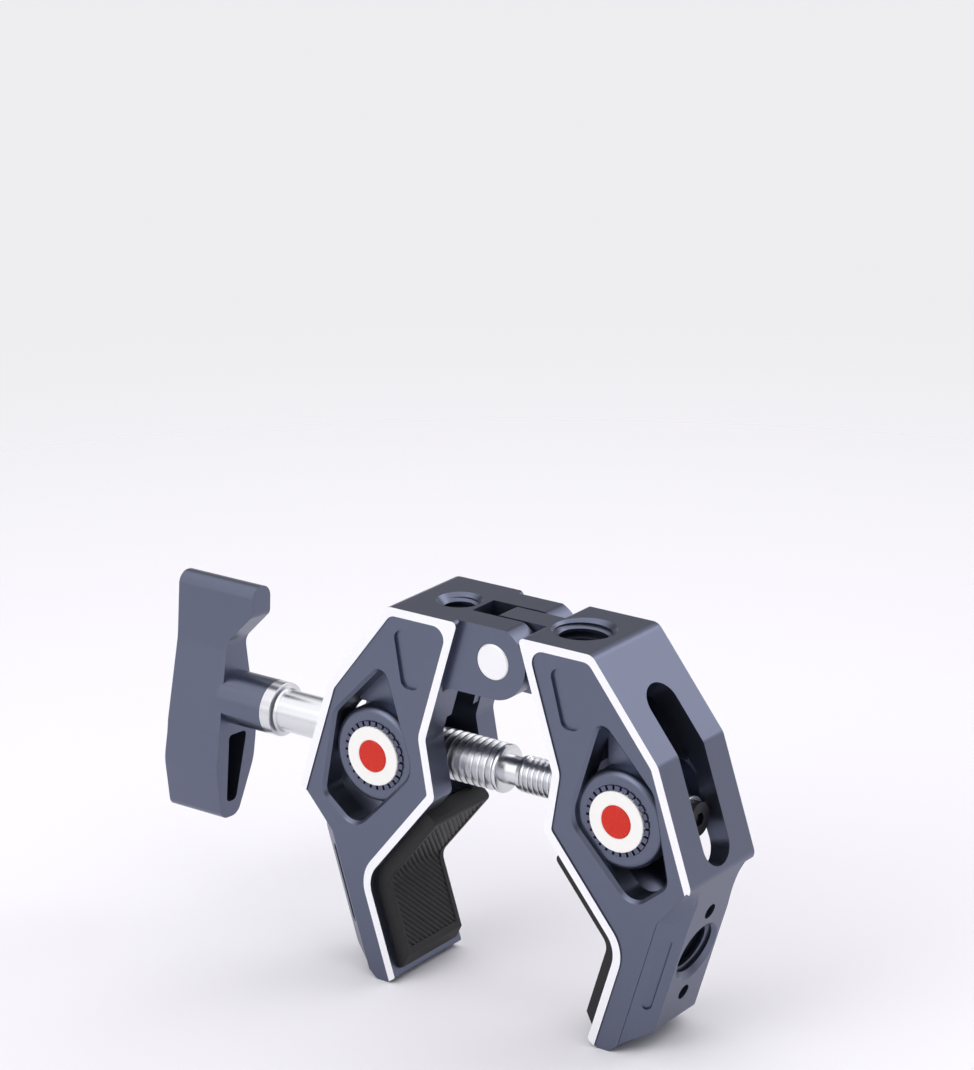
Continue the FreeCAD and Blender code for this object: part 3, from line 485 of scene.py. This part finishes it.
# %% Sizes of the spindle
spindle_low, spindle_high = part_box("spindle")
AXIS_Z = (spindle_low.z + spindle_high.z) / 2
LARGE_RADIUS = 4.0 * MM
LARGE_PITCH = 1.25 * MM
SMALL_RADIUS = 3.0 * MM
SMALL_PITCH = 1.0 * MM
THREAD_DEPTH = 0.61               # share of the pitch
SHAFT_RADIUS = 3.5 * MM
NECK_RADIUS = 2.45 * MM
NECK_FROM = -2.45 * MM
NECK_TO = 0.35 * MM
LARGE_FROM = -33.0 * MM
TANG_RADIUS = 2.5 * MM
SPIGOT_RADIUS = 2.0 * MM
COLLAR_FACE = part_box("spindle_collar")[1].x
COLLAR_CONE = 0.7 * MM
LIP = 0.9 * MM
LIP_ROUND = 0.35 * MM
WASHER_GAP = 0.05 * MM
SMALL_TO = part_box("stop_washer")[0].x - WASHER_GAP
EDGE_CHAMFER = 0.1 * MM
RUN_OUT = 0.5 * MM                # length over which the shaft falls to a thread's root
SMALL_CONE = 0.3 * MM
SMALL_PLAIN = 1.0 * MM
END_CHAMFER = 0.4 * MM
RIDGE_SUNK = 0.05 * MM            # the ridges reach a little into the core
LARGE_RIDGE_FROM = LARGE_FROM + 0.6 * MM
SMALL_RIDGE_FROM = NECK_TO + 0.9 * MM
SMALL_RIDGE_TO = SMALL_TO - 0.2 * MM
SEGMENTS = 96
print("spindle axis at", round(AXIS_Z / MM, 2), "mm")


def spun(work, profile, segments=SEGMENTS):
    """Closed body of revolution about the X axis from (x, radius) points."""
    verts = [work.verts.new((x, 0, radius)) for x, radius in profile]
    edges = [work.edges.new(pair) for pair in zip(verts, verts[1:])]
    bmesh.ops.spin(work, geom=verts + edges, cent=(0, 0, 0), axis=(1, 0, 0),
                   angle=math.tau, steps=segments, use_merge=True)
    bmesh.ops.remove_doubles(work, verts=work.verts, dist=0.0005 * MM)


# %% Turn the spindle and wind its threads
core = bmesh.new()
large_root = LARGE_RADIUS - THREAD_DEPTH * LARGE_PITCH
small_root = SMALL_RADIUS - THREAD_DEPTH * SMALL_PITCH
profile = [
    (spindle_low.x, 0.0),
    (spindle_low.x, TANG_RADIUS),
    (COLLAR_FACE, TANG_RADIUS),
    (COLLAR_FACE, SHAFT_RADIUS + COLLAR_CONE),
    (COLLAR_FACE + COLLAR_CONE * 0.3, SHAFT_RADIUS + COLLAR_CONE * 0.35),
    (COLLAR_FACE + COLLAR_CONE, SHAFT_RADIUS),
    (LARGE_FROM, SHAFT_RADIUS),
    (LARGE_FROM + RUN_OUT, large_root),
    (NECK_FROM - LIP - LIP_ROUND, large_root),
    (NECK_FROM - LIP, LARGE_RADIUS - EDGE_CHAMFER),
    (NECK_FROM - LIP + LIP_ROUND / 2, LARGE_RADIUS),
    (NECK_FROM - LIP_ROUND, LARGE_RADIUS),
    (NECK_FROM - LIP_ROUND / 3, LARGE_RADIUS - LIP_ROUND / 3),
    (NECK_FROM, LARGE_RADIUS - LIP_ROUND),
    (NECK_FROM, NECK_RADIUS),
    (NECK_TO, NECK_RADIUS),
    (NECK_TO + SMALL_CONE, SMALL_RADIUS - EDGE_CHAMFER),
    (NECK_TO + SMALL_PLAIN, SMALL_RADIUS),
    (NECK_TO + SMALL_PLAIN + RUN_OUT, small_root),
    (SMALL_TO - END_CHAMFER, small_root),
    (SMALL_TO, small_root - EDGE_CHAMFER),
    (SMALL_TO, SPIGOT_RADIUS),
    (spindle_high.x, SPIGOT_RADIUS),
    (spindle_high.x, 0.0),
]
spun(core, profile)
thread(core, LARGE_RADIUS, large_root - RIDGE_SUNK, LARGE_PITCH, LARGE_RIDGE_FROM,
       NECK_FROM - LIP, -1)
thread(core, SMALL_RADIUS, small_root - RIDGE_SUNK, SMALL_PITCH, SMALL_RIDGE_FROM,
       SMALL_RIDGE_TO, 1)
bmesh.ops.translate(core, verts=core.verts, vec=(0, 0, AXIS_Z))
bmesh.ops.recalc_face_normals(core, faces=core.faces)
spindle_piece = even_shading(finish_mesh(core, "threaded_spindle", [polished_steel]))
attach(spindle_piece, BODY_OF["spindle"])
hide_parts("spindle")
print("threaded spindle:", len(spindle_piece.data.polygons), "faces")


# %% [markdown]
# ## Ribbed rubber pads
# The pads are moulded with fine diagonal ribs, which bite on a smooth tube. The field of ribs is
# a grid laid along the pad's bent face: each of its points is lifted by the height of the rib
# that passes there, and a thickness then makes the sheet a closed piece, sunk into the pad.

# %% The pad's bent face
GRIP_TOP_MM = Vector((14.222, 0, 12.2))
GRIP_KINK_MM = Vector((24.2, 0, 0))
GRIP_FOOT_MM = Vector((20.215, 0, -12.5))
FIELD_FLOOR_MM = 2.15             # above the metal
FIELD_BEND_MM = 2.85              # radius of the bend along the floor
FIELD_HALF_WIDTH_MM = 6.3


def grip_side(start, end):
    """Start and end of one straight side on the field's floor, and the way it faces."""
    run = (end - start).normalized()
    facing = Vector((run.z, 0, -run.x))
    return start + facing * FIELD_FLOOR_MM, end + facing * FIELD_FLOOR_MM, run, facing


upper_start, upper_end, upper_run, upper_facing = grip_side(GRIP_TOP_MM, GRIP_KINK_MM)
lower_start, lower_end, lower_run, lower_facing = grip_side(GRIP_KINK_MM, GRIP_FOOT_MM)
bend_angle = upper_run.angle(lower_run)
floor_kink = GRIP_KINK_MM + (upper_facing + lower_facing).normalized() * (
    FIELD_FLOOR_MM / math.cos(bend_angle / 2))
bend_reach = FIELD_BEND_MM * math.tan(bend_angle / 2)
upper_length = (floor_kink - upper_start).length - bend_reach
bend_length = FIELD_BEND_MM * bend_angle
lower_length = (lower_end - floor_kink).length - bend_reach
FIELD_LENGTH_MM = upper_length + bend_length + lower_length
bend_centre = floor_kink - upper_run * bend_reach + upper_facing * FIELD_BEND_MM
print("ribbed field:", round(FIELD_LENGTH_MM, 1), "mm long")


def grip_point(along):
    """Place on the field's floor at a distance from its upper end, and the way it faces."""
    if along < upper_length:
        return upper_start + upper_run * along, upper_facing
    if along < upper_length + bend_length:
        share = (along - upper_length) / bend_length
        facing = upper_facing.slerp(lower_facing, share)
        return bend_centre - facing * FIELD_BEND_MM, facing
    return floor_kink + lower_run * (along - upper_length - bend_length + bend_reach), lower_facing


# %% Ribs
RIB_PITCH_MM = 0.8
RIB_HEIGHT_MM = 0.24
RIB_FULLNESS = 0.8                # below 1 the crests get broader
GRID_STEP_MM = 0.1
SHEET_MM = 0.5


def rib_height(along, across):
    """Height of the diagonal ribs, with rounded crests."""
    phase = (along - across) / (RIB_PITCH_MM * math.sqrt(2))
    return RIB_HEIGHT_MM * abs(math.sin(math.pi * phase)) ** RIB_FULLNESS


def ribbed_sheet(side):
    work = bmesh.new()
    columns = round(FIELD_LENGTH_MM / GRID_STEP_MM)
    rows = round(2 * FIELD_HALF_WIDTH_MM / GRID_STEP_MM)
    bmesh.ops.create_grid(work, x_segments=columns, y_segments=rows, size=0.5)
    hand = 1 if side == "right" else -1
    for vert in work.verts:
        along = (vert.co.x + 0.5) * FIELD_LENGTH_MM
        across = vert.co.y * 2 * FIELD_HALF_WIDTH_MM
        place, facing = grip_point(along)
        spot = place + facing * rib_height(along, across)
        vert.co = (hand * spot.x * MM, across * MM, spot.z * MM)
    bmesh.ops.recalc_face_normals(work, faces=work.faces)
    middle = grip_point(FIELD_LENGTH_MM / 4)[1]
    some_face = min(work.faces, key=lambda face: -face.calc_center_median().z)
    if some_face.normal.dot(Vector((hand * middle.x, 0, middle.z))) < 0:
        bmesh.ops.reverse_faces(work, faces=work.faces)
    bmesh.ops.solidify(work, geom=work.faces[:], thickness=SHEET_MM * MM)
    bmesh.ops.recalc_face_normals(work, faces=work.faces)
    sheet = finish_mesh(work, f"ribs_{side}", [rubber])
    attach(sheet, BODY_OF[f"{side}_pad"])
    return sheet


PAD_EDGE_MM = 0.15
for side in ("left", "right"):
    dress(f"{side}_pad", f"rubber_{side}", rubber, PAD_EDGE_MM, "black_rubber")
    sheet = ribbed_sheet(side)
    print(sheet.name, "has", len(sheet.data.polygons), "faces")


# %% [markdown]
# ## Floor
# The clamp stands on a matt, pale floor that keeps its soft shadow. A plain disc is enough. It
# fades into the backdrop far out, so that no horizon shows.

# %% Floor
BACKDROP = "eeedf0"
FLOOR_FADE_FROM = 0.10
FLOOR_FADE_TO = 0.45
FLOOR_RADIUS = 1.2


def floor_material():
    # Matt pale paper: no highlight of its own, and clear towards the disc's rim
    material, tree, surface = new_material("pale_floor", "efeef1", Roughness=0.9)
    surface.inputs["Specular IOR Level"].default_value = 0.1
    place = add_node(tree, "ShaderNodeTexCoord")
    reach = add_node(tree, "ShaderNodeVectorMath", {0: place.outputs["Object"]}, operation="LENGTH")
    fade = add_node(tree, "ShaderNodeMapRange", {
        "Value": reach.outputs["Value"], "From Min": FLOOR_FADE_FROM, "From Max": FLOOR_FADE_TO},
        interpolation_type="SMOOTHSTEP")
    clear = add_node(tree, "ShaderNodeBsdfTransparent")
    blend = add_node(tree, "ShaderNodeMixShader", {
        "Fac": fade.outputs["Result"], 1: surface.outputs["BSDF"], 2: clear.outputs["BSDF"]})
    tree.links.new(blend.outputs["Shader"], tree.nodes["Material Output"].inputs["Surface"])
    return material


ground = bmesh.new()
bmesh.ops.create_circle(ground, cap_ends=True, segments=96, radius=FLOOR_RADIUS)
bmesh.ops.translate(ground, verts=ground.verts, vec=(0, 0, cad_box[0][2]))
floor = finish_mesh(ground, "floor", [floor_material()])
print("floor at", round(cad_box[0][2] / MM, 1), "mm")


# %% [markdown]
# ## Room
# A bright room suits a product shot. The backdrop is pale up to a little above the horizon; a
# dark band follows, and then a bright ceiling. Two soft windows shine out of the band: one behind
# the clamp, mirrored by the slanted faces, and one in front, for the rims and rings. Metal shows
# what it mirrors, so the band gives the steel its contrast. All this could be built from cards
# and lamps, but a few nodes in the world do it without noise. Every kind of ray sees the same
# room, so the metal mirrors the very backdrop that stands behind it.

# %% Room
BACKDROP_LIGHT = 1.0
DARK_BAND_LIGHT = 0.12
CEILING_LIGHT = 1.48
room = bpy.data.worlds.new("pale_room")
bpy.context.scene.world = room
room.use_nodes = True
room_tree = room.node_tree
room_tree.nodes.clear()
gaze = add_node(room_tree, "ShaderNodeTexCoord")
gaze_apart = add_node(room_tree, "ShaderNodeSeparateXYZ", {"Vector": gaze.outputs["Generated"]})


def light_by_height(start, end, below, above):
    """Light that changes smoothly between two elevations, in degrees."""
    change = add_node(room_tree, "ShaderNodeMapRange", {
        "Value": gaze_apart.outputs["Z"], "From Min": math.sin(math.radians(start)),
        "From Max": math.sin(math.radians(end)), "To Min": below, "To Max": above},
        interpolation_type="SMOOTHSTEP")
    return change.outputs["Result"]


def soft_window(azimuth, elevation, bright_within, dark_beyond, strength):
    """A soft round window in the room, with its angles in degrees."""
    level = math.cos(math.radians(elevation))
    towards = (level * math.sin(math.radians(azimuth)), level * math.cos(math.radians(azimuth)),
               math.sin(math.radians(elevation)))
    closeness = add_node(room_tree, "ShaderNodeVectorMath", {
        0: gaze.outputs["Generated"], 1: towards}, operation="DOT_PRODUCT")
    glow = add_node(room_tree, "ShaderNodeMapRange", {
        "Value": closeness.outputs["Value"], "From Min": math.cos(math.radians(dark_beyond)),
        "From Max": math.cos(math.radians(bright_within)), "To Min": 0.0, "To Max": strength},
        interpolation_type="SMOOTHSTEP")
    return glow.outputs["Result"]


backdrop = light_by_height(start=8, end=18, below=BACKDROP_LIGHT, above=DARK_BAND_LIGHT)
ceiling = light_by_height(start=24, end=56, below=0.0, above=CEILING_LIGHT)
back_window = soft_window(azimuth=28, elevation=31, bright_within=10, dark_beyond=24,
                          strength=2.35)
front_window = soft_window(azimuth=-160, elevation=30, bright_within=14, dark_beyond=34,
                           strength=1.2)
brightness = backdrop
for glow in (ceiling, back_window, front_window):
    brightness = add_node(room_tree, "ShaderNodeMath", {0: brightness, 1: glow}).outputs[0]
room_light = add_node(room_tree, "ShaderNodeBackground", {
    "Color": linear(BACKDROP), "Strength": brightness})
add_node(room_tree, "ShaderNodeOutputWorld", {"Surface": room_light.outputs[0]})
print("room nodes:", len(room_tree.nodes))


# %% [markdown]
# ## Lamp
# One large, weak lamp in front gives the shadow a direction and lifts the white rims. Its size
# keeps the shadow's edge soft, and as it is far away it doesn't burn out the pale parts.

# %% Lamp
KEY_PLACE = (-0.3, -1.0, 0.6)
KEY_SIZE = 0.6
KEY_POWER = 1.7
key_light = bpy.data.lights.new("key_light", "AREA")
key_light.size = KEY_SIZE
key_light.energy = KEY_POWER
key_lamp = bpy.data.objects.new("key_lamp", key_light)
key_lamp.location = KEY_PLACE
key_lamp.rotation_euler = (-Vector(KEY_PLACE)).to_track_quat("-Z", "Y").to_euler()
bpy.context.scene.collection.objects.link(key_lamp)
print("lamp:", KEY_POWER, "W")


# %% [markdown]
# ## Camera
# The clamp is photographed from the right and from a little above, with a long lens, so its far
# side is hardly smaller than its near one. The camera's place was worked out from points of the
# clamp that can be told in the photograph, and it only turns, without any shift.

# %% Camera at the photograph's place
CAMERA_PLACE = (0.30508, -0.42839, 0.23395)
CAMERA_AZIMUTH = math.radians(36.035)
CAMERA_ELEVATION = math.radians(18.264)
CAMERA_ROLL = math.radians(-0.328)
LENS_MM = 120.58
camera_data = bpy.data.cameras.new("camera")
camera_data.lens = LENS_MM
camera_data.sensor_width = 36.0
camera_data.clip_start = 0.01
camera = bpy.data.objects.new("camera", camera_data)
azimuth_turn = Matrix.Rotation(CAMERA_AZIMUTH, 4, "Z")
tilt_turn = Matrix.Rotation(math.pi / 2 - CAMERA_ELEVATION, 4, "X")
roll_turn = Matrix.Rotation(CAMERA_ROLL, 4, "Z")
camera.matrix_world = Matrix.Translation(CAMERA_PLACE) @ azimuth_turn @ tilt_turn @ roll_turn
bpy.context.scene.collection.objects.link(camera)
bpy.context.scene.camera = camera
bpy.context.scene.view_settings.view_transform = "Standard"
print("camera lens:", LENS_MM, "mm")
